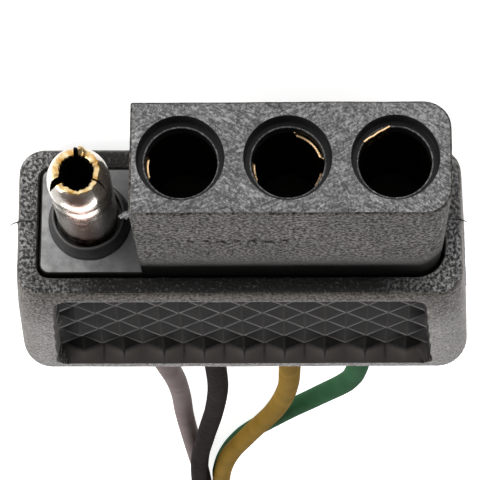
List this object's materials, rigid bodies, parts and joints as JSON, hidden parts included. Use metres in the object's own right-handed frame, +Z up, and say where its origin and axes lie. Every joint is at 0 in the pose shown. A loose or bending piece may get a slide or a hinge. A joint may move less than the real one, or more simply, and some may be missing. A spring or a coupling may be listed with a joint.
{
  "type": "trailer wiring connector",
  "caption": "Moulded flat trailer wiring connector with a row of covered sockets, a bare bullet pin and a bundle of coloured leads wound in a coil",
  "frame": {"origin": "under the middle of the moulding, on the surface that it lies on", "axes": "the sockets and the pin face -Y, the leads leave toward +Y, +X is the pin's side, +Z is up"},
  "size_m": [0.0497, 0.2222, 0.0164],
  "materials": {
    "overmould_black": "moulded, fine stipple",
    "carrier_grey": "moulded, smooth, scuffed",
    "collar_black": "moulded",
    "nickel": "plated, worn bright",
    "brass": "rolled sheet",
    "copper": "bare stranded copper",
    "insulation_white": "soft PVC",
    "insulation_brown": "soft PVC",
    "insulation_yellow": "soft PVC",
    "insulation_green": "soft PVC",
    "tie_nylon": "nylon"
  },
  "bodies": {
    "root": {"grip_overmould": "overmould_black", "terminal_carrier": "carrier_grey", "pin_collar": "collar_black", "pin_contact": "nickel", "socket_contact_brown": "brass", "socket_contact_yellow": "brass", "socket_contact_green": "brass", "conductor_white": "copper", "conductor_brown": "copper", "conductor_yellow": "copper", "conductor_green": "copper", "lead_white": "insulation_white", "lead_brown": "insulation_brown", "lead_yellow": "insulation_yellow", "lead_green": "insulation_green", "lead_coil": "insulation_brown", "tail_white": "insulation_white", "tail_brown": "insulation_brown", "tail_yellow": "insulation_yellow", "tail_green": "insulation_green", "tip_white": "copper", "tip_brown": "copper", "tip_yellow": "copper", "tip_green": "copper", "cable_tie_band": "tie_nylon", "cable_tie_head": "tie_nylon"}
  },
  "joints": []
}
